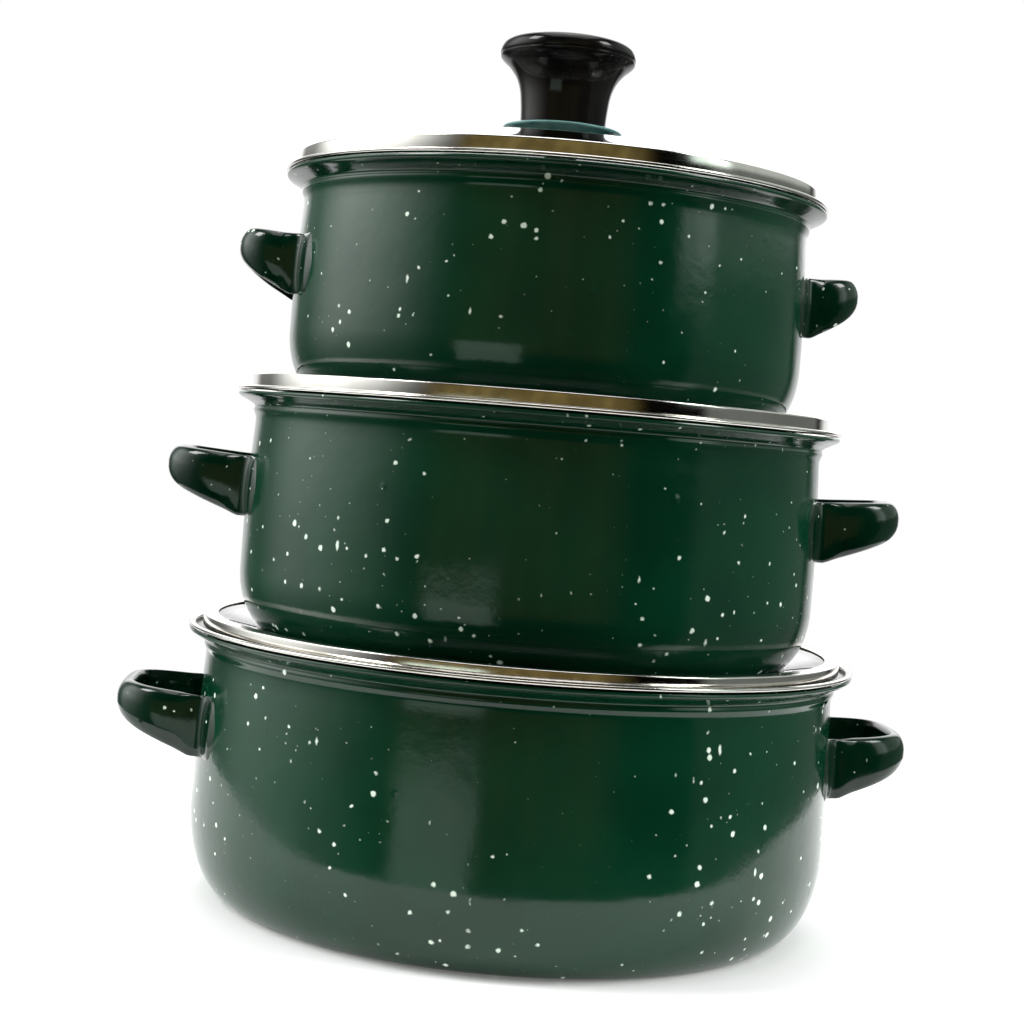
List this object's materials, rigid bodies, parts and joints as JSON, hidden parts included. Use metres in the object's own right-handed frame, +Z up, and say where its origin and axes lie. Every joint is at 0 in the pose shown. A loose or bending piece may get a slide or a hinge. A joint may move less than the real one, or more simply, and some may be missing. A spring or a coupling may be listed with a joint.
{
  "type": "camping cook pot set",
  "caption": "Stack of round enamelled steel camping cook pots with loop handles, steel rims and glass lids with knobs, each pot standing in the turned-over lid of the pot below.",
  "frame": {"origin": "middle of the flat base of the lowest pot, on the surface it stands on", "axes": "+Z up the common axis of the pots, X through the middle pot's handles, with the large and the small pot turned about five degrees from it, -Y towards the viewer"},
  "size_m": [0.2566, 0.214, 0.2793],
  "materials": {
    "green_enamel": "glossy speckled enamel",
    "polished_steel": "polished stainless steel",
    "clear_glass": "clear tempered glass",
    "knob_black": "glossy black phenolic",
    "collar_teal": "satin dark teal",
    "insert_brass": "turned brass",
    "seal_rubber": "matt silicone rubber"
  },
  "bodies": {
    "large_pot": {"large_pot_shell": "green_enamel", "large_pot_rim_trim": "polished_steel", "large_pot_handle_left": "green_enamel", "large_pot_handle_right": "green_enamel"},
    "large_lid": {"large_lid_glass": "clear_glass", "large_lid_band": "polished_steel", "large_lid_knob": "knob_black", "large_lid_knob_collar": "collar_teal", "large_lid_knob_insert": "insert_brass", "large_lid_screw": "polished_steel", "large_lid_seal_washer": "seal_rubber"},
    "medium_pot": {"medium_pot_shell": "green_enamel", "medium_pot_rim_trim": "polished_steel", "medium_pot_handle_left": "green_enamel", "medium_pot_handle_right": "green_enamel"},
    "medium_lid": {"medium_lid_glass": "clear_glass", "medium_lid_band": "polished_steel", "medium_lid_knob": "knob_black", "medium_lid_knob_collar": "collar_teal", "medium_lid_knob_insert": "insert_brass", "medium_lid_screw": "polished_steel", "medium_lid_seal_washer": "seal_rubber"},
    "small_pot": {"small_pot_shell": "green_enamel", "small_pot_rim_trim": "polished_steel", "small_pot_handle_left": "green_enamel", "small_pot_handle_right": "green_enamel"},
    "small_lid": {"small_lid_glass": "clear_glass", "small_lid_band": "polished_steel", "small_lid_knob": "knob_black", "small_lid_knob_collar": "collar_teal", "small_lid_knob_insert": "insert_brass", "small_lid_screw": "polished_steel", "small_lid_seal_washer": "seal_rubber"}
  },
  "joints": [
    {"name": "large_lid_lift", "type": "slide", "parent": "large_pot", "child": "large_lid", "axis": [0, 0, 1], "range_m": [0, 0.06]},
    {"name": "medium_pot_lift", "type": "slide", "parent": "large_lid", "child": "medium_pot", "axis": [0, 0, 1], "range_m": [0, 0.05]},
    {"name": "medium_lid_lift", "type": "slide", "parent": "medium_pot", "child": "medium_lid", "axis": [0, 0, 1], "range_m": [0, 0.06]},
    {"name": "small_pot_lift", "type": "slide", "parent": "medium_lid", "child": "small_pot", "axis": [0, 0, 1], "range_m": [0, 0.05]},
    {"name": "small_lid_lift", "type": "slide", "parent": "small_pot", "child": "small_lid", "axis": [0, 0, 1], "range_m": [0, 0.05]}
  ]
}
